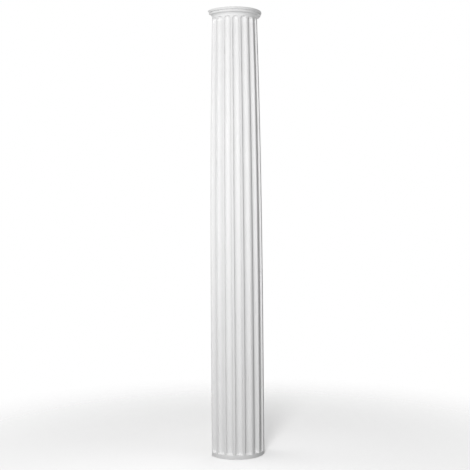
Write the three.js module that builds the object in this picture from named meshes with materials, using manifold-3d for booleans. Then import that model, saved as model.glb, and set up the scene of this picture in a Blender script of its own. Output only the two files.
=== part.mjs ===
// A fluted half column shaft with a flat back: one moulding, in millimetres, +Z up.
// The rounded front faces -Y, and the origin is under the middle of the shaft.
import * as THREE from 'three';
import { mergeGeometries, mergeVertices } from 'three/addons/utils/BufferGeometryUtils.js';
import Module from 'manifold-3d';

// Driving dimensions of the shaft
const HEIGHT = 2000;
const FOOT_RADIUS = 125;
const NECK_RADIUS = 106;
const ENTASIS_POWER = 3;

// Flutes: how many share the half turn, their section, and how they start and end
const FLUTE_COUNT = 9;
const FILLET_SHARE = 0.23;
const FLUTE_DEPTH_SHARE = 0.85;
const SILL_HEIGHT = 17;
const NECK_FILLET = 1.5;

// Mouldings at the top, from the top face down
const BEAD_HEIGHT = 11;
const BEAD_RADIUS = 126.5;
const RING_HEIGHT = 10;
const RING_RADIUS = 122;
const RING_PROJECTION = 4;
const CAVETTO_HEIGHT = 12;

// Facets
const SHAFT_STEPS = 12;
const FACETS_PER_PITCH = 6;
const CUTTER_SIDES = 28;
const HEAD_STEPS = 6;
const MOULDING_STEPS = 6;

// Sizes worked out from the ones above
const FLUTE_PITCH = Math.PI / FLUTE_COUNT;
const HALF_FLUTE_ANGLE = FLUTE_PITCH * (1 - FILLET_SHARE) / 2;
const RING_TOP = HEIGHT - BEAD_HEIGHT;
const CAVETTO_TOP = RING_TOP - RING_HEIGHT;
const CAVETTO_TOP_RADIUS = RING_RADIUS - RING_PROJECTION;
const NECK_HEIGHT = CAVETTO_TOP - CAVETTO_HEIGHT;
const HEAD_TOP = NECK_HEIGHT - NECK_FILLET;
const SPRINGING_HEIGHT = HEAD_TOP - NECK_RADIUS * Math.sin(HALF_FLUTE_ANGLE);

// Radius of the shaft over its fillets: straight low down, drawn in towards the neck
function shaftRadius(height) {
  return FOOT_RADIUS - (FOOT_RADIUS - NECK_RADIUS) * (height / NECK_HEIGHT) ** ENTASIS_POWER;
}

// Heights along the shaft where both the body and the flutes have an edge
function shaftHeights() {
  const rise = (SPRINGING_HEIGHT - SILL_HEIGHT) / SHAFT_STEPS;
  return Array.from({ length: SHAFT_STEPS + 1 }, (_, step) => SILL_HEIGHT + rise * step);
}

// Points on part of an ellipse, from one angle to another
function arcPoints(center, reach, rise, startAngle, endAngle, steps) {
  const curve = new THREE.EllipseCurve(
    center.x, center.y, reach, rise, startAngle, endAngle, endAngle < startAngle);
  return curve.getPoints(steps);
}

// Round ring: a convex arc that stands out from a groove above and below it
function ringPoints(outerRadius, bottom, height) {
  const halfHeight = height / 2;
  const curvature = (halfHeight ** 2 + RING_PROJECTION ** 2) / (2 * RING_PROJECTION);
  const center = new THREE.Vector2(outerRadius - curvature, bottom + halfHeight);
  const halfAngle = Math.asin(halfHeight / curvature);
  return arcPoints(center, curvature, curvature, -halfAngle, halfAngle, MOULDING_STEPS);
}

// Cavetto: a hollow quarter that leads from the neck out to the underside of the rings
function cavettoPoints() {
  const center = new THREE.Vector2(CAVETTO_TOP_RADIUS, NECK_HEIGHT);
  const reach = CAVETTO_TOP_RADIUS - NECK_RADIUS;
  return arcPoints(center, reach, CAVETTO_HEIGHT, Math.PI, Math.PI / 2, MOULDING_STEPS);
}

// Profile of the shaft before it is fluted, from the axis at the foot to the axis at the top
function shaftProfile() {
  const points = [new THREE.Vector2(0, 0), new THREE.Vector2(FOOT_RADIUS, 0)];
  for (const height of shaftHeights()) {
    points.push(new THREE.Vector2(shaftRadius(height), height));
  }
  points.push(...cavettoPoints());
  points.push(...ringPoints(RING_RADIUS, CAVETTO_TOP, RING_HEIGHT).slice(1));
  points.push(...ringPoints(BEAD_RADIUS, RING_TOP, BEAD_HEIGHT));
  points.push(new THREE.Vector2(0, HEIGHT));
  return points;
}

// Profile of the cutter of one flute: level at the sill, domed at the head
function flutePoints() {
  const halfWidth = (height) => shaftRadius(height) * Math.sin(HALF_FLUTE_ANGLE);
  const points = [new THREE.Vector2(0, SILL_HEIGHT)];
  for (const height of shaftHeights()) {
    points.push(new THREE.Vector2(halfWidth(height), height));
  }
  const springing = new THREE.Vector2(0, SPRINGING_HEIGHT);
  const headRadius = halfWidth(SPRINGING_HEIGHT);
  const head = arcPoints(springing, headRadius, headRadius, 0, Math.PI / 2, HEAD_STEPS);
  points.push(...head.slice(1));
  return points;
}

// Lathe that turns round +Z, where a turn of 0 points to the front
function turnedOnZ(points, sides, start, sweep) {
  const geometry = new THREE.LatheGeometry(points, sides, start, sweep);
  geometry.rotateX(Math.PI / 2);
  return geometry;
}

// Flat back of the half shaft: the profile and its mirror image, facing +Y
function backFace(profile) {
  const rightSide = profile.map((point) => new THREE.Vector2(point.x, -point.y));
  const leftSide = rightSide.slice(1, -1).reverse().map((point) => new THREE.Vector2(-point.x, point.y));
  const geometry = new THREE.ShapeGeometry(new THREE.Shape([...rightSide, ...leftSide]));
  geometry.rotateX(-Math.PI / 2);
  return geometry;
}

// Same triangles with shared corners and nothing but positions, without those of no area
function weld(geometry) {
  const bare = geometry.clone();
  bare.deleteAttribute('normal');
  bare.deleteAttribute('uv');
  const welded = mergeVertices(bare);
  const corners = welded.index.array;
  const kept = [];
  for (let first = 0; first < corners.length; first += 3) {
    const [a, b, c] = corners.slice(first, first + 3);
    if (a !== b && b !== c && c !== a) {
      kept.push(a, b, c);
    }
  }
  welded.setIndex(kept);
  return welded;
}

const wasm = await Module();
wasm.setup();

// Closed geometry to a solid that can be cut
function solidFrom(geometry) {
  const welded = weld(geometry);
  return new wasm.Manifold(new wasm.Mesh({
    numProp: 3,
    vertProperties: new Float32Array(welded.attributes.position.array),
    triVerts: new Uint32Array(welded.index.array),
  }));
}

// Solid back to a geometry, flat shaded
function geometryFrom(solid) {
  const mesh = solid.getMesh();
  const geometry = new THREE.BufferGeometry();
  geometry.setAttribute('position', new THREE.BufferAttribute(mesh.vertProperties, 3));
  geometry.setIndex(new THREE.BufferAttribute(mesh.triVerts, 1));
  geometry.computeVertexNormals();
  return geometry;
}

// Half shaft before it is fluted: its turned front closed by its flat back
function plainHalfShaft() {
  const profile = shaftProfile();
  const front = turnedOnZ(profile, FLUTE_COUNT * FACETS_PER_PITCH, -Math.PI / 2, Math.PI);
  return solidFrom(mergeGeometries([front, backFace(profile)]));
}

// Cutter of the flute at a turn from the front: oval in plan, leaning in with the entasis
function fluteCutter(turn) {
  const geometry = turnedOnZ(flutePoints(), CUTTER_SIDES, 0, 2 * Math.PI);
  const position = geometry.attributes.position;
  for (let index = 0; index < position.count; index += 1) {
    const height = Math.min(position.getZ(index), SPRINGING_HEIGHT);
    const chordDistance = shaftRadius(height) * Math.cos(HALF_FLUTE_ANGLE);
    position.setY(index, position.getY(index) * FLUTE_DEPTH_SHARE - chordDistance);
  }
  geometry.rotateZ(turn);
  return solidFrom(geometry);
}

// Fluted half shaft
function halfColumnShaft() {
  let shaft = plainHalfShaft();
  for (let index = 0; index < FLUTE_COUNT; index += 1) {
    const turn = (index - (FLUTE_COUNT - 1) / 2) * FLUTE_PITCH;
    shaft = shaft.subtract(fluteCutter(turn));
  }
  const primedFoam = new THREE.MeshStandardMaterial({ color: 0xf3f3f1, roughness: 0.6, metalness: 0 });
  const mesh = new THREE.Mesh(geometryFrom(shaft), primedFoam);
  mesh.name = 'half_column_shaft';
  mesh.position.y = BEAD_RADIUS / 2;
  return mesh;
}

const halfColumn = new THREE.Group();
halfColumn.add(halfColumnShaft());

export default halfColumn;
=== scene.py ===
"""Fluted half column shaft in white primed foam, with the studio it is shown in."""

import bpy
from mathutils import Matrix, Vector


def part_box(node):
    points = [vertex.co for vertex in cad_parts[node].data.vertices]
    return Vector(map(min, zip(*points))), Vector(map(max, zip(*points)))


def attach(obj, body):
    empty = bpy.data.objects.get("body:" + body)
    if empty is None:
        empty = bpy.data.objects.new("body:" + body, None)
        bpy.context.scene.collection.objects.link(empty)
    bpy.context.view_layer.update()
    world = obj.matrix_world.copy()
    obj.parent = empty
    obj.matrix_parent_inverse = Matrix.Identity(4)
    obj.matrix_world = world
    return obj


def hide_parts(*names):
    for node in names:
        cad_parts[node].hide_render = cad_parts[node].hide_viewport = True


bl_info = {
    "name": "Fluted Half Column",
    "version": (1, 0, 0),
    "blender": (4, 5, 0),
    "location": "View3D > Sidebar > Half Column",
    "description": "Models a fluted half column shaft around its packed solid",
    "category": "Add Mesh",
}

import math
from collections import namedtuple

import bmesh
import bpy
from bpy.props import FloatProperty, FloatVectorProperty, IntProperty, PointerProperty
from mathutils import Matrix, Vector

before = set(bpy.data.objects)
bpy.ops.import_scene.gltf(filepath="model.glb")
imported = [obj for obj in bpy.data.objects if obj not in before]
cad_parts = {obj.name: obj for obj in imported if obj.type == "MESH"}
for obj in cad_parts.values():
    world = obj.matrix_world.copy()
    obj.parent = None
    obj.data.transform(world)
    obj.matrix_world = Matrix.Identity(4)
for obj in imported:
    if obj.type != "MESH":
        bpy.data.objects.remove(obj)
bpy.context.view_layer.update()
SHAFT_NODE = "half_column_shaft"
SHAFT_PIECE = "fluted_half_shaft"
SHAFT_LOW, SHAFT_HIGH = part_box(SHAFT_NODE)

# The shaft is half of a round one, so its axis lies in the flat back
AXIS_Y = SHAFT_HIGH.y
MILLIMETRE = 0.001
WELD = 0.01 * MILLIMETRE
NEAR = 0.05 * MILLIMETRE

# How finely the round forms are divided
FILLET_CUTS = 2
FLUTE_CUTS = 28
SHAFT_ROWS = 28
COVE_ROWS = 5
SPANDREL_CUTS = 3
CAVETTO_ROWS = 10
RING_ROWS = 12
ARRIS_CUTS = 3
SHARP_ANGLE = math.radians(38)

# How far the normal of a flat face may stray
STRAY = 0.01

# Primer and rigid foam bend light about alike
COATING_IOR = 1.5

# Primer: how wide its clouds and its orange peel are, how deep the peel is, and how rough it dries
CLOUD_SIZE = 120 * MILLIMETRE
PEEL_SIZE = 3 * MILLIMETRE
PEEL_DEPTH = 0.45 * MILLIMETRE
PRIMER_ROUGHNESS = (0.62, 0.74)

# Planed foam: how far apart its marks are, the scale that draws them out along X, its cells and roughness
MARK_SPACING = 9 * MILLIMETRE
MARK_SCALE = (0.06, 1.0, 1.0)
CELL_SIZE = 3 * MILLIMETRE
CELL_DEPTH = 0.5 * MILLIMETRE
PLANED_ROUGHNESS = 0.8

# Inputs for the two colours, and the output, of a Mix node that mixes colours
MIX_FIRST, MIX_SECOND, MIX_RESULT = 6, 7, 2

# Floor: where it starts to fade, where it has faded out, its gap under the shaft and its sides
FADE_START = 0.5
FLOOR_RADIUS = 2.0
FLOOR_GAP = 0.2 * MILLIMETRE
FLOOR_SIDES = 96

# Width of the camera's sensor in millimetres
SENSOR_WIDTH = 36.0

# Softboxes: name, turn from the front to the right, distance from the axis, height, width and length
Softbox = namedtuple("Softbox", "name turn distance height width length")
KEY_LIGHT = Softbox("key_light", math.radians(-33), 2.75, 1.6, 0.5, 1.2)
LEFT_LIGHT = Softbox("left_light", math.radians(-115), 2.75, 1.6, 0.5, 1.6)
RIGHT_LIGHT = Softbox("right_light", math.radians(118), 2.75, 1.4, 0.5, 1.6)
REAR_LIGHT = Softbox("rear_light", math.radians(155), 2.75, 1.2, 0.3, 1.6)
TOP_LIGHT = Softbox("top_light", math.radians(180), 0.5, 3.0, 0.12, 0.12)
FLOOR_LIGHT = Softbox("floor_light", 0.0, 0.05, 3.5, 3.0, 3.0)


def linear_colour(hex_code):
    """sRGB hex code to linear red, green and blue."""
    channels = [int(hex_code[at:at + 2], 16) / 255 for at in (0, 2, 4)]
    return tuple(c / 12.92 if c <= 0.04045 else ((c + 0.055) / 1.055) ** 2.4 for c in channels)


class HalfShaftSizes(bpy.types.PropertyGroup):
    """Sizes of the fluted half shaft."""

    height: FloatProperty(
        name="Height", description="From the underside to the top face",
        default=SHAFT_HIGH.z - SHAFT_LOW.z, unit="LENGTH")
    foot_radius: FloatProperty(
        name="Foot radius", description="Radius over the fillets at the foot",
        default=0.125, unit="LENGTH")
    neck_radius: FloatProperty(
        name="Neck radius", description="Radius over the fillets where the cavetto starts",
        default=0.106, unit="LENGTH")
    entasis_power: FloatProperty(
        name="Entasis power", description="How late the shaft draws in: 1 is a straight taper",
        default=3.0, min=1.0)
    flute_count: IntProperty(
        name="Flutes", description="Flutes on the half turn", default=9, min=3)
    flute_depth: FloatProperty(
        name="Flute depth", description="Depth of a flute as a share of half its width",
        default=0.85, subtype="FACTOR")
    fillet_share: FloatProperty(
        name="Fillet share", description="Share of the pitch that the flat fillet takes",
        default=0.23, subtype="FACTOR")
    sill_height: FloatProperty(
        name="Sill height", description="Plain band below the flutes", default=0.017, unit="LENGTH")
    sill_cove: FloatProperty(
        name="Sill cove", description="Hollow run-out of a flute's floor on to its sill",
        default=0.008, unit="LENGTH")
    neck_fillet: FloatProperty(
        name="Neck fillet", description="Plain strip between the flute heads and the cavetto",
        default=0.0015, unit="LENGTH")
    bead_height: FloatProperty(
        name="Upper ring height", description="Height of the ring at the top", default=0.011, unit="LENGTH")
    bead_radius: FloatProperty(
        name="Upper ring radius", description="Radius over the upper ring, the widest part",
        default=(SHAFT_HIGH.x - SHAFT_LOW.x) / 2, unit="LENGTH")
    ring_height: FloatProperty(
        name="Lower ring height", description="Height of the ring under it", default=0.010, unit="LENGTH")
    ring_radius: FloatProperty(
        name="Lower ring radius", description="Radius over the lower ring", default=0.122, unit="LENGTH")
    ring_projection: FloatProperty(
        name="Ring projection", description="How far a ring stands out of its grooves",
        default=0.004, unit="LENGTH")
    cavetto_height: FloatProperty(
        name="Cavetto height", description="Hollow moulding under the rings", default=0.012, unit="LENGTH")
    arris_radius: FloatProperty(
        name="Arris radius", description="Rounding that the mould and the paint leave on an edge",
        default=0.0009, unit="LENGTH")


class FinishColours(bpy.types.PropertyGroup):
    """Colours of the shaft's finishes."""

    primer: FloatVectorProperty(
        name="Primer", description="White primer coat", subtype="COLOR",
        default=linear_colour("F2F2F2"))
    primer_shade: FloatVectorProperty(
        name="Primer shade", description="Primer where it lies a little thinner", subtype="COLOR",
        default=linear_colour("EDEDED"))
    planed: FloatVectorProperty(
        name="Planed foam", description="Planed back and ends with a thin mist of primer", subtype="COLOR",
        default=linear_colour("EAE9E6"))
    planed_shade: FloatVectorProperty(
        name="Planed shade", description="Planer marks on the back and the ends", subtype="COLOR",
        default=linear_colour("DEDCD7"))
    floor: FloatVectorProperty(
        name="Floor", description="Pale studio floor", subtype="COLOR",
        default=linear_colour("F0F0F0"))


class StudioSettings(bpy.types.PropertyGroup):
    """Camera and lights."""

    camera_turn: FloatProperty(
        name="Camera turn", description="Camera's turn from the front, to the right",
        default=math.radians(-25), subtype="ANGLE")
    camera_distance: FloatProperty(
        name="Camera distance", description="From the shaft's axis", default=4.08, unit="LENGTH")
    camera_height: FloatProperty(
        name="Camera height", description="Above the floor", default=1.078, unit="LENGTH")
    target_height: FloatProperty(
        name="Target height", description="Where the camera looks at the shaft's axis",
        default=0.9938, unit="LENGTH")
    camera_roll: FloatProperty(
        name="Camera roll", description="Turn of the camera about its line of sight",
        default=math.radians(-0.46), subtype="ANGLE")
    lens: FloatProperty(
        name="Lens", description="Focal length in millimetres", default=68.73, unit="CAMERA")
    camera_shift: FloatProperty(
        name="Camera shift", description="Sideways shift of the lens, as a share of the picture",
        default=-0.0006)
    key_power: FloatProperty(
        name="Key power", description="Key light, a little left of the camera",
        default=58.5, unit="POWER")
    left_power: FloatProperty(
        name="Left power", description="Weak light at the shaft's left", default=12.0, unit="POWER")
    right_power: FloatProperty(
        name="Right power", description="Light at the shaft's right", default=30.0, unit="POWER")
    rear_power: FloatProperty(
        name="Rear power", description="Light behind the shaft", default=36.0, unit="POWER")
    top_power: FloatProperty(
        name="Top power", description="Small light above and behind the top face",
        default=7.5, unit="POWER")
    floor_power: FloatProperty(
        name="Floor power", description="Light that falls on the floor alone",
        default=95.0, unit="POWER")
    ambient: FloatProperty(
        name="Ambient", description="Strength of the light from all round", default=0.165)


def turned(turn, radius, height):
    """Point at a turn from the front, a radius from the shaft's axis and a height."""
    return Vector((radius * math.sin(turn), AXIS_Y - radius * math.cos(turn), height))


def axis_point(height):
    """Point on the shaft's axis."""
    return Vector((0.0, AXIS_Y, height))


class ShaftForm:
    """Measures of the shaft that follow from its sizes."""

    def __init__(self, sizes):
        self.sizes = sizes
        self.pitch = math.pi / sizes.flute_count
        self.half_flute = self.pitch * (1 - sizes.fillet_share) / 2
        self.half_fillet = self.pitch / 2 - self.half_flute
        self.ring_top = sizes.height - sizes.bead_height
        self.cavetto_top = self.ring_top - sizes.ring_height
        self.neck = self.cavetto_top - sizes.cavetto_height
        head_top = self.neck - sizes.neck_fillet
        self.springing = head_top - sizes.neck_radius * math.sin(self.half_flute)

    def radius(self, height):
        """Radius over the fillets: straight low down, drawn in towards the neck."""
        sizes = self.sizes
        drawn_in = (height / self.neck) ** sizes.entasis_power
        return sizes.foot_radius - (sizes.foot_radius - sizes.neck_radius) * drawn_in

    def half_width(self, height):
        """Half the width of a flute."""
        return self.radius(height) * math.sin(self.half_flute)

    def flute_centre(self, height):
        """Centre of the front flute's round section, on the chord between its arrises."""
        return Vector((0.0, AXIS_Y - self.radius(height) * math.cos(self.half_flute), height))

    def surface_y(self, x, height):
        """Y of the plain front's surface, at a distance from the middle and a height."""
        return AXIS_Y - math.sqrt(self.radius(height) ** 2 - x ** 2)

    def rows(self):
        """Height of each row of the flute, and its depth there as a share of half its width."""
        sizes = self.sizes
        half = self.half_width(sizes.sill_height)
        rows = []
        for step in range(COVE_ROWS + 1):
            angle = math.pi / 2 * step / COVE_ROWS
            height = sizes.sill_height + sizes.sill_cove * (1 - math.cos(angle))
            depth = half * sizes.flute_depth - sizes.sill_cove * (1 - math.sin(angle))
            rows.append((height, depth / half))
        bottom = rows[-1][0]
        for step in range(1, SHAFT_ROWS + 1):
            rows.append((bottom + (self.springing - bottom) * step / SHAFT_ROWS, sizes.flute_depth))
        return rows

    def ring_profile(self, outer_radius, bottom, height):
        """Radius and height along a round ring that stands out of its grooves."""
        half = height / 2
        projection = self.sizes.ring_projection
        curvature = (half ** 2 + projection ** 2) / (2 * projection)
        spread = math.asin(half / curvature)
        points = []
        for step in range(RING_ROWS + 1):
            angle = spread * (2 * step / RING_ROWS - 1)
            points.append((outer_radius - curvature * (1 - math.cos(angle)),
                           bottom + half + curvature * math.sin(angle)))
        return points

    def moulding_profile(self):
        """Radius and height of the mouldings, from just over the neck to the top face."""
        sizes = self.sizes
        reach = sizes.ring_radius - sizes.ring_projection - sizes.neck_radius
        points = []
        for step in range(1, CAVETTO_ROWS + 1):
            angle = math.pi / 2 * step / CAVETTO_ROWS
            points.append((sizes.neck_radius + reach * (1 - math.cos(angle)),
                           self.neck + sizes.cavetto_height * math.sin(angle)))
        points += self.ring_profile(sizes.ring_radius, self.cavetto_top, sizes.ring_height)[1:]
        points += self.ring_profile(sizes.bead_radius, self.ring_top, sizes.bead_height)
        return points


def pick(test):
    """Selects the vertices whose place passes a test, with the edges and faces between them."""
    bpy.ops.mesh.select_mode(type="VERT")
    bpy.ops.mesh.select_all(action="DESELECT")
    data = bpy.context.edit_object.data
    mesh = bmesh.from_edit_mesh(data)
    for vertex in mesh.verts:
        vertex.select_set(test(vertex.co))
    mesh.select_flush_mode()
    bmesh.update_edit_mesh(data)


def at_height(height):
    """Test for vertices at a height."""
    return lambda place: abs(place.z - height) < NEAR


def on_surface(form, height):
    """Test for vertices on the plain shaft's surface at a height."""
    centre = axis_point(height)
    radius = form.radius(height)
    return lambda place: abs(place.z - height) < NEAR and abs((place - centre).length - radius) < NEAR


def start_line(point):
    """Adds a plane to the mesh in edit mode and draws it together to one selected vertex."""
    bpy.ops.mesh.select_all(action="DESELECT")
    bpy.ops.mesh.primitive_plane_add(size=MILLIMETRE, location=point)
    bpy.ops.mesh.merge(type="CENTER")


def draw_arc(centre, axis, angle, cuts):
    """Draws the selection on along an arc, anticlockwise about the axis (spin turns clockwise)."""
    bpy.ops.mesh.spin(steps=cuts, angle=-angle, center=centre, axis=axis)


def draw_plain_arc(form, height):
    """Draws a bay's outer arc from fillet to fillet, with a vertex at each arris."""
    start_line(turned(-form.pitch / 2, form.radius(height), height))
    for angle, cuts in ((form.half_fillet, FILLET_CUTS),
                        (2 * form.half_flute, FLUTE_CUTS),
                        (form.half_fillet, FILLET_CUTS)):
        draw_arc(axis_point(height), (0, 0, 1), angle, cuts)


def draw_fluted_section(form, height):
    """Draws a bay's section at a height: half a fillet, the round flute, half a fillet."""
    start_line(turned(-form.pitch / 2, form.radius(height), height))
    draw_arc(axis_point(height), (0, 0, 1), form.half_fillet, FILLET_CUTS)
    draw_arc(form.flute_centre(height), (0, 0, 1), -math.pi, FLUTE_CUTS)
    draw_arc(axis_point(height), (0, 0, 1), form.half_fillet, FILLET_CUTS)


def in_flute(form, height):
    """Test for vertices of the front flute's section at a height, arrises included."""
    centre = form.flute_centre(height)
    reach = form.half_width(height) + NEAR

    def test(place):
        return (abs(place.z - height) < NEAR and place.y > centre.y - NEAR
                and (place - centre).length < reach)

    return test


def raise_row(rise, scale, height):
    """Extrudes the selected line upwards and draws it in or out about the shaft's axis."""
    bpy.ops.mesh.extrude_region_move(TRANSFORM_OT_translate={"value": (0, 0, rise)})
    bpy.ops.transform.resize(value=(scale, scale, 1), center_override=axis_point(height))


def deepen_flute(form, height, scale):
    """Scales the depth of the front flute's section at a height."""
    pick(in_flute(form, height))
    bpy.ops.transform.resize(value=(1, scale, 1), center_override=form.flute_centre(height))


def raise_flute(form):
    """Raises the bay's wall from the sill to the springing of the flute's head."""
    rows = form.rows()
    low, low_depth = rows[0]
    draw_fluted_section(form, low)
    deepen_flute(form, low, low_depth)
    pick(at_height(low))
    for height, depth in rows[1:]:
        raise_row(height - low, form.radius(height) / form.radius(low), height)
        if depth != low_depth:
            deepen_flute(form, height, depth / low_depth)
            pick(at_height(height))
        low, low_depth = height, depth


def close_sill(form):
    """Draws the plain band under the flute and closes the level sill behind it."""
    sill = form.sizes.sill_height
    section = in_flute(form, sill)
    on_band = on_surface(form, sill)
    arris = turned(form.half_flute, form.radius(sill), sill).x + NEAR
    draw_plain_arc(form, sill)
    pick(lambda place: section(place) or (on_band(place) and abs(place.x) < arris))
    bpy.ops.mesh.bridge_edge_loops()
    pick(on_band)
    bpy.ops.mesh.extrude_region_move(TRANSFORM_OT_translate={"value": (0, 0, -sill)})


def close_head(form):
    """Turns half the flute's section over into its domed head and closes the wall over it."""
    springing = form.springing
    centre = form.flute_centre(springing)
    section = in_flute(form, springing)
    pick(lambda place: section(place) and place.x < NEAR)
    draw_arc(centre, (0, 1, 0), math.pi, FLUTE_CUTS)
    reach = form.half_width(springing)

    def on_arch(place):
        return (place.z > springing - NEAR and abs(place.y - centre.y) < NEAR
                and abs((place - centre).length - reach) < NEAR)

    # The edge of the head is drawn forward on to the shaft's round surface
    data = bpy.context.edit_object.data
    mesh = bmesh.from_edit_mesh(data)
    for vertex in mesh.verts:
        if on_arch(vertex.co):
            vertex.co.y = form.surface_y(vertex.co.x, vertex.co.z)
    bmesh.update_edit_mesh(data)
    bpy.ops.mesh.select_all(action="SELECT")
    bpy.ops.mesh.remove_doubles(threshold=WELD)
    draw_plain_arc(form, form.neck)

    def on_wall(place):
        outside = place.y < form.surface_y(place.x, place.z) + NEAR
        return outside and place.z > springing - NEAR

    pick(on_wall)
    bpy.ops.mesh.bridge_edge_loops(number_cuts=SPANDREL_CUTS, interpolation="LINEAR")


def raise_mouldings(form):
    """Raises the cavetto and the two rings over the neck."""
    pick(at_height(form.neck))
    low_radius, low = form.radius(form.neck), form.neck
    for radius, height in form.moulding_profile():
        raise_row(height - low, radius / low_radius, height)
        low_radius, low = radius, height


def repeat_bays(form):
    """Copies the front bay round the half turn and welds the bays together."""
    count = form.sizes.flute_count
    sweep = form.pitch * (count - 1)
    bpy.ops.mesh.select_all(action="SELECT")
    bpy.ops.mesh.spin(steps=count - 1, angle=-sweep, dupli=True, center=axis_point(0), axis=(0, 0, 1))
    bpy.ops.mesh.select_all(action="SELECT")
    # With no window a positive value turns clockwise: half the sweep back to the middle
    bpy.ops.transform.rotate(value=sweep / 2, orient_axis="Z", center_override=axis_point(0))
    bpy.ops.mesh.remove_doubles(threshold=WELD)


def close_ends_and_back(form):
    """Fills the underside, the top face and the flat back."""
    for height in (0.0, form.sizes.height):
        pick(at_height(height))
        bpy.ops.mesh.edge_face_add()
    bpy.ops.mesh.select_all(action="DESELECT")
    bpy.ops.mesh.select_non_manifold(use_wire=False, use_multi_face=False,
                                     use_non_contiguous=False, use_verts=False)
    bpy.ops.mesh.edge_face_add()
    bpy.ops.mesh.select_all(action="SELECT")
    bpy.ops.mesh.normals_make_consistent(inside=False)


def round_arrises(radius):
    """Rounds the outward edges, as the mould and the paint leave them."""
    bpy.ops.mesh.select_mode(type="EDGE")
    bpy.ops.mesh.select_all(action="DESELECT")
    data = bpy.context.edit_object.data
    mesh = bmesh.from_edit_mesh(data)
    for edge in mesh.edges:
        edge.select_set(edge.calc_face_angle_signed() > SHARP_ANGLE)
    bmesh.update_edit_mesh(data)
    bpy.ops.mesh.bevel(offset=radius, offset_type="OFFSET", segments=ARRIS_CUTS, clamp_overlap=False)


def model_half_shaft(sizes):
    """Models one bay of the shaft, repeats it round the half turn and closes it."""
    form = ShaftForm(sizes)
    bpy.ops.object.select_all(action="DESELECT")
    bpy.ops.mesh.primitive_plane_add(size=MILLIMETRE)
    shaft = bpy.context.object
    shaft.name = SHAFT_PIECE
    bpy.ops.object.mode_set(mode="EDIT")
    bpy.ops.mesh.select_mode(type="VERT")
    bpy.ops.mesh.delete(type="VERT")
    raise_flute(form)
    close_sill(form)
    close_head(form)
    raise_mouldings(form)
    repeat_bays(form)
    close_ends_and_back(form)
    round_arrises(sizes.arris_radius)
    bpy.ops.object.mode_set(mode="OBJECT")
    bpy.ops.object.shade_smooth_by_angle(angle=SHARP_ANGLE)
    bpy.ops.object.modifier_add(type="WEIGHTED_NORMAL")
    shaft.modifiers[-1].keep_sharp = True
    bpy.ops.object.modifier_apply(modifier=shaft.modifiers[-1].name)
    return shaft


def check_closed(piece):
    """Stops with an error if a piece's mesh isn't closed."""
    mesh = bmesh.new()
    mesh.from_mesh(piece.data)
    closed = all(edge.is_manifold for edge in mesh.edges)
    mesh.free()
    if not closed:
        raise RuntimeError(f"{piece.name} isn't a closed mesh")


def add_node(tree, kind, settings=None, inputs=None):
    """Adds a node with its settings, and with a value or a link in each named input."""
    node = tree.nodes.new(kind)
    for name, value in (settings or {}).items():
        setattr(node, name, value)
    for name, value in (inputs or {}).items():
        if isinstance(value, bpy.types.NodeSocket):
            tree.links.new(value, node.inputs[name])
        else:
            node.inputs[name].default_value = value
    return node


def empty_material(name):
    """Adds a material without nodes and gives it with its node tree."""
    material = bpy.data.materials.new(name)
    material.use_nodes = True
    material.node_tree.nodes.clear()
    return material, material.node_tree


def opaque(colour):
    """Colour with full alpha, as a socket takes it."""
    return (*colour, 1.0)


def primer_material(colours):
    """White primer, sprayed on moulded foam."""
    # To the eye an even, nearly matt white, with faint clouds and a fine orange peel close to
    material, tree = empty_material("sprayed_white_primer")
    place = add_node(tree, "ShaderNodeTexCoord").outputs["Object"]
    cloud = add_node(tree, "ShaderNodeTexNoise", inputs={
        "Vector": place, "Scale": 1 / CLOUD_SIZE, "Detail": 3.0})
    tone = add_node(tree, "ShaderNodeMix", {"data_type": "RGBA"}, {
        0: cloud.outputs["Fac"],
        MIX_FIRST: opaque(colours.primer), MIX_SECOND: opaque(colours.primer_shade)})
    smoothest, roughest = PRIMER_ROUGHNESS
    sheen = add_node(tree, "ShaderNodeMapRange", inputs={
        "Value": cloud.outputs["Fac"], "To Min": smoothest, "To Max": roughest})
    # Real orange peel is about 1 mm across: drawn at 3 mm so that it shows
    peel = add_node(tree, "ShaderNodeTexNoise", inputs={
        "Vector": place, "Scale": 1 / PEEL_SIZE, "Detail": 2.0})
    relief = add_node(tree, "ShaderNodeBump", inputs={
        "Strength": 0.8, "Distance": PEEL_DEPTH, "Height": peel.outputs["Fac"]})
    surface = add_node(tree, "ShaderNodeBsdfPrincipled", inputs={
        "Base Color": tone.outputs[MIX_RESULT], "Roughness": sheen.outputs["Result"],
        "Metallic": 0.0, "IOR": COATING_IOR, "Normal": relief.outputs["Normal"]})
    add_node(tree, "ShaderNodeOutputMaterial", inputs={"Surface": surface.outputs["BSDF"]})
    return material


def planed_material(colours):
    """Rigid foam, planed flat and misted with primer."""
    # To the eye rougher and a little warmer than the front, with faint marks across and open cells
    material, tree = empty_material("planed_foam")
    place = add_node(tree, "ShaderNodeTexCoord").outputs["Object"]
    stretched = add_node(tree, "ShaderNodeMapping", inputs={
        "Vector": place, "Scale": MARK_SCALE})
    marks = add_node(tree, "ShaderNodeTexNoise", inputs={
        "Vector": stretched.outputs["Vector"], "Scale": 1 / MARK_SPACING, "Detail": 4.0})
    tone = add_node(tree, "ShaderNodeMix", {"data_type": "RGBA"}, {
        0: marks.outputs["Fac"],
        MIX_FIRST: opaque(colours.planed), MIX_SECOND: opaque(colours.planed_shade)})
    # Real cells are well under 1 mm across: drawn at 3 mm so that they show
    cells = add_node(tree, "ShaderNodeTexVoronoi", inputs={"Vector": place, "Scale": 1 / CELL_SIZE})
    pits = add_node(tree, "ShaderNodeBump", inputs={
        "Strength": 0.7, "Distance": CELL_DEPTH, "Height": cells.outputs["Distance"]})
    surface = add_node(tree, "ShaderNodeBsdfPrincipled", inputs={
        "Base Color": tone.outputs[MIX_RESULT], "Roughness": PLANED_ROUGHNESS,
        "Metallic": 0.0, "IOR": COATING_IOR, "Normal": pits.outputs["Normal"]})
    add_node(tree, "ShaderNodeOutputMaterial", inputs={"Surface": surface.outputs["BSDF"]})
    return material


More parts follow.
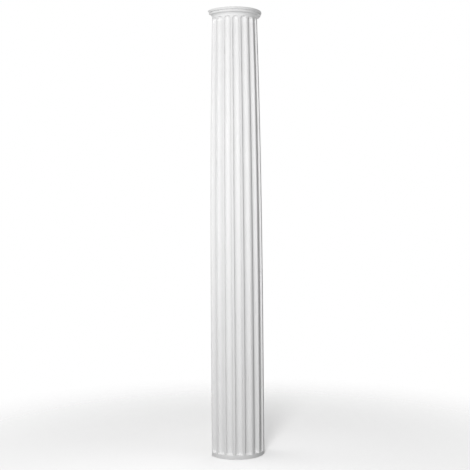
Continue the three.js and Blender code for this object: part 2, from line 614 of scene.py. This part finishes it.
def is_planed(face, height):
    """Whether a face goes against the wall, the floor or a capital, or joins two that do."""
    behind = face.normal.y > STRAY and abs(face.normal.x) < STRAY
    level = abs(face.normal.z) > 1 - STRAY
    at_end = face.center.z < NEAR or face.center.z > height - NEAR
    return behind or (level and at_end)


def finish_half_shaft(shaft, sizes, colours):
    """Gives the shaft its primer, and its back and ends the planed finish."""
    shaft.data.materials.append(primer_material(colours))
    shaft.data.materials.append(planed_material(colours))
    for face in shaft.data.polygons:
        face.material_index = int(is_planed(face, sizes.height))


class COLUMN_OT_half_shaft(bpy.types.Operator):
    """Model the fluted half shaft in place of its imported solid"""

    bl_idname = "column.half_shaft"
    bl_label = "Fluted half shaft"

    def execute(self, context):
        sizes = context.scene.half_shaft
        shaft = model_half_shaft(sizes)
        check_closed(shaft)
        finish_half_shaft(shaft, sizes, context.scene.column_colours)
        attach(shaft, "root")
        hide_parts(SHAFT_NODE)
        return {"FINISHED"}


def floor_material(colours):
    """Pale matt paint on the studio floor."""
    # To the eye an even pale ground that thins out to nothing at its rim, and isn't there from below
    material, tree = empty_material("matt_floor_paint")
    place = add_node(tree, "ShaderNodeTexCoord").outputs["Object"]
    distance = add_node(tree, "ShaderNodeVectorMath", {"operation": "LENGTH"}, {0: place})
    fade = add_node(tree, "ShaderNodeMapRange", {"interpolation_type": "SMOOTHSTEP"}, {
        "Value": distance.outputs["Value"], "From Min": FADE_START, "From Max": FLOOR_RADIUS})
    from_below = add_node(tree, "ShaderNodeNewGeometry").outputs["Backfacing"]
    gone = add_node(tree, "ShaderNodeMath", {"operation": "MAXIMUM"}, {
        0: fade.outputs["Result"], 1: from_below})
    matt = add_node(tree, "ShaderNodeBsdfDiffuse", inputs={"Color": opaque(colours.floor)})
    clear = add_node(tree, "ShaderNodeBsdfTransparent")
    blend = add_node(tree, "ShaderNodeMixShader", inputs={
        0: gone.outputs["Value"], 1: matt.outputs["BSDF"], 2: clear.outputs["BSDF"]})
    add_node(tree, "ShaderNodeOutputMaterial", inputs={"Surface": blend.outputs["Shader"]})
    return material


def lay_floor(colours):
    """Lays the round floor under the shaft. It takes shadows, but throws no light back up."""
    bpy.ops.object.select_all(action="DESELECT")
    bpy.ops.mesh.primitive_circle_add(
        vertices=FLOOR_SIDES, radius=FLOOR_RADIUS, fill_type="NGON", location=(0, 0, -FLOOR_GAP))
    floor = bpy.context.object
    floor.name = "floor"
    floor.visible_diffuse = False
    floor.data.materials.append(floor_material(colours))
    return floor


def look_at(place, target):
    """Turn that faces a camera or a lamp at a target, upright."""
    return (target - place).to_track_quat("-Z", "Y").to_matrix().to_4x4()


def hang_softbox(box, power, target, falls_on=None):
    """Hangs a softbox that no camera sees. It lights everything, or one object alone."""
    place = turned(box.turn, box.distance, box.height)
    bpy.ops.object.light_add(type="AREA")
    softbox = bpy.context.object
    softbox.name = box.name
    softbox.data.shape = "RECTANGLE"
    softbox.data.size = box.width
    softbox.data.size_y = box.length
    softbox.data.energy = power
    softbox.visible_camera = False
    softbox.matrix_world = Matrix.Translation(place) @ look_at(place, target)
    if falls_on:
        lit = bpy.data.collections.new(f"{box.name}_falls_on")
        lit.objects.link(falls_on)
        softbox.light_linking.receiver_collection = lit


def hang_lights(studio, shaft, floor):
    """Hangs the key light at the camera's left, and the lights that fall on one thing alone."""
    middle = axis_point((SHAFT_LOW.z + SHAFT_HIGH.z) / 2)
    hang_softbox(KEY_LIGHT, studio.key_power, middle)
    hang_softbox(LEFT_LIGHT, studio.left_power, middle, shaft)
    hang_softbox(RIGHT_LIGHT, studio.right_power, middle, shaft)
    hang_softbox(REAR_LIGHT, studio.rear_power, middle, shaft)
    hang_softbox(TOP_LIGHT, studio.top_power, axis_point(SHAFT_HIGH.z), shaft)
    hang_softbox(FLOOR_LIGHT, studio.floor_power, axis_point(SHAFT_LOW.z), floor)


def light_room(scene, studio):
    """White background for the camera, and a low even light from all round."""
    world = bpy.data.worlds.new("studio_room")
    world.use_nodes = True
    tree = world.node_tree
    tree.nodes.clear()
    white = opaque(linear_colour("FFFFFF"))
    ray = add_node(tree, "ShaderNodeLightPath")
    even = add_node(tree, "ShaderNodeBackground", inputs={"Color": white, "Strength": studio.ambient})
    backdrop = add_node(tree, "ShaderNodeBackground", inputs={"Color": white, "Strength": 1.0})
    blend = add_node(tree, "ShaderNodeMixShader", inputs={
        0: ray.outputs["Is Camera Ray"], 1: even.outputs["Background"], 2: backdrop.outputs["Background"]})
    add_node(tree, "ShaderNodeOutputWorld", inputs={"Surface": blend.outputs["Shader"]})
    scene.world = world


def place_camera(scene, studio):
    """Places the camera where the photograph was taken from."""
    place = turned(studio.camera_turn, studio.camera_distance, studio.camera_height)
    bpy.ops.object.camera_add()
    camera = bpy.context.object
    camera.name = "camera"
    camera.data.sensor_width = SENSOR_WIDTH
    camera.data.lens = studio.lens
    camera.data.shift_x = studio.camera_shift
    upright = Matrix.Translation(place) @ look_at(place, axis_point(studio.target_height))
    camera.matrix_world = upright @ Matrix.Rotation(studio.camera_roll, 4, "Z")
    scene.camera = camera


class COLUMN_OT_studio(bpy.types.Operator):
    """Set up the floor, the lights and the camera"""

    bl_idname = "column.studio"
    bl_label = "Studio"

    def execute(self, context):
        studio = context.scene.column_studio
        floor = lay_floor(context.scene.column_colours)
        hang_lights(studio, bpy.data.objects[SHAFT_PIECE], floor)
        light_room(context.scene, studio)
        place_camera(context.scene, studio)
        context.scene.view_settings.view_transform = "Standard"
        return {"FINISHED"}


class COLUMN_PT_half_column(bpy.types.Panel):
    """Sizes, colours and studio of the half column"""

    bl_idname = "COLUMN_PT_half_column"
    bl_label = "Half Column"
    bl_space_type = "VIEW_3D"
    bl_region_type = "UI"
    bl_category = "Half Column"

    def draw(self, context):
        column = self.layout.column()
        for group in (context.scene.half_shaft, context.scene.column_colours, context.scene.column_studio):
            for name in group.__annotations__:
                column.prop(group, name)
        column.operator(COLUMN_OT_half_shaft.bl_idname)
        column.operator(COLUMN_OT_studio.bl_idname)


CLASSES = (HalfShaftSizes, FinishColours, StudioSettings,
           COLUMN_OT_half_shaft, COLUMN_OT_studio, COLUMN_PT_half_column)


def register():
    """Registers the classes and the settings on the scene."""
    for each in CLASSES:
        bpy.utils.register_class(each)
    bpy.types.Scene.half_shaft = PointerProperty(type=HalfShaftSizes)
    bpy.types.Scene.column_colours = PointerProperty(type=FinishColours)
    bpy.types.Scene.column_studio = PointerProperty(type=StudioSettings)


def unregister():
    """Removes the settings and the classes."""
    del bpy.types.Scene.column_studio
    del bpy.types.Scene.column_colours
    del bpy.types.Scene.half_shaft
    for each in reversed(CLASSES):
        bpy.utils.unregister_class(each)


def main():
    """Builds the shaft and the studio."""
    register()
    bpy.ops.column.half_shaft()
    bpy.ops.column.studio()


if __name__ == "__main__":
    main()
